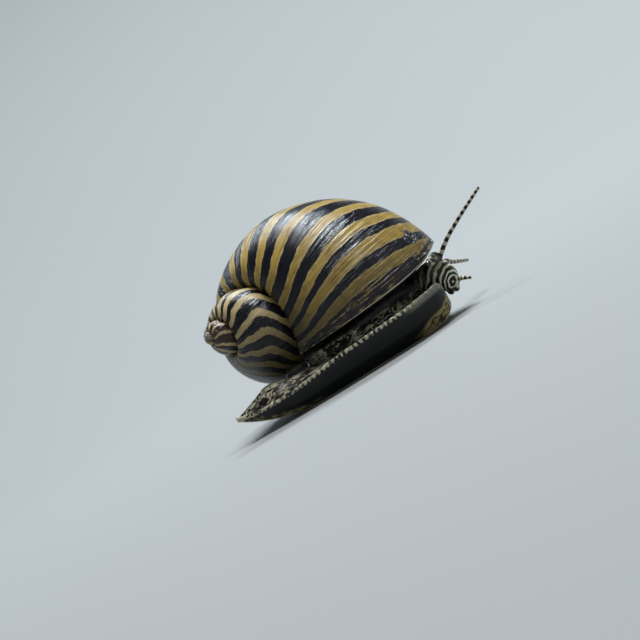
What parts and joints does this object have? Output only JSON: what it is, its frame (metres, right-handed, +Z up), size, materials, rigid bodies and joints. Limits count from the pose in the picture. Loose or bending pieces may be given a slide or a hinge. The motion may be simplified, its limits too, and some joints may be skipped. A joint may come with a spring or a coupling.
{
  "type": "nerite snail",
  "caption": "Life-size model of a striped nerite snail, crawling with its head and tentacles out.",
  "frame": {"origin": "on the flat of the sole, about half way along the foot", "axes": "+X the way the head points, +Y the animal's left, +Z up from the floor"},
  "size_m": [0.0331, 0.0195, 0.0185],
  "materials": {
    "shell": "glossy",
    "flesh": "satin",
    "tentacle": "satin",
    "eye": "glossy",
    "operculum": "satin"
  },
  "bodies": {
    "root": {"shell": "shell", "operculum": "operculum", "foot_tail": "flesh", "foot_middle": "flesh", "foot_front": "flesh", "body": "flesh", "mantle": "flesh", "neck": "flesh", "head": "flesh", "snout": "flesh", "palp": "tentacle", "eye_stalk_right": "flesh", "eye_stalk_left": "flesh", "eye_right": "eye", "eye_left": "eye", "tentacle_right_base": "tentacle", "tentacle_right_mid": "tentacle", "tentacle_right_tip": "tentacle", "tentacle_left_base": "tentacle", "tentacle_left_mid": "tentacle", "tentacle_left_tip": "tentacle"}
  },
  "joints": []
}
